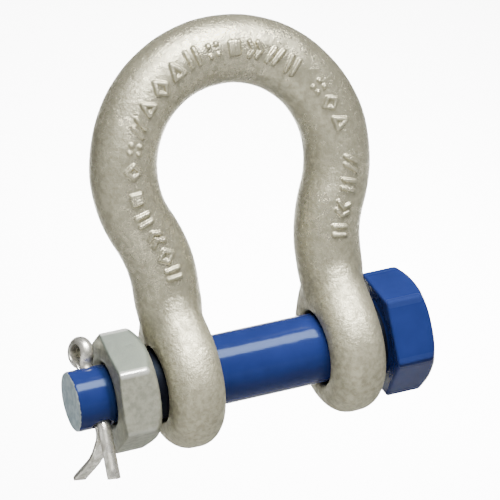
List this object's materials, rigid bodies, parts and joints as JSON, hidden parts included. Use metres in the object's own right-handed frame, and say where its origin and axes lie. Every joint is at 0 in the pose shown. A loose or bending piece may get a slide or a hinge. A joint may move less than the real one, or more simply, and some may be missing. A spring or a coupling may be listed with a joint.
{
  "type": "bow shackle",
  "caption": "Bow shackle with a forged galvanised bow, a painted hexagon-head safety bolt through both ears, a hexagon nut and a split pin.",
  "frame": {"origin": "on the bolt's axis, midway between the ears, where a lug or padeye rests on the bolt", "axes": "+X along the bolt's axis, towards its head; +Z from the bolt to the bow's top; +Y across the bow, away from its marked side"},
  "size_m": [0.1166, 0.0438, 0.1346],
  "materials": {
    "galvanised_bow": "hot-dip galvanised, matt grey with a faint warm spangle",
    "painted_bolt": "glossy blue enamel, bare at the cut end",
    "galvanised_nut": "satin galvanised",
    "split_pin_wire": "bright zinc-plated half-round wire"
  },
  "bodies": {
    "bow": {"bow": "galvanised_bow"},
    "bolt": {"bolt": "painted_bolt"},
    "nut": {"nut": "galvanised_nut"},
    "split_pin": {"split_pin": "split_pin_wire"}
  },
  "joints": [
    {"name": "bolt_turn", "type": "hinge", "parent": "bow", "child": "bolt", "pos_m": [0, 0, 0], "axis": [1, 0, 0], "continuous": true},
    {"name": "nut_turn", "type": "hinge", "parent": "bolt", "child": "nut", "pos_m": [-0.04505, 0, 0], "axis": [-1, 0, 0], "range_deg": [0, 40]},
    {"name": "split_pin_slide", "type": "slide", "parent": "bolt", "child": "split_pin", "axis": [0, 0.4695, 0.8829], "range_m": [0, 0.0015]}
  ]
}
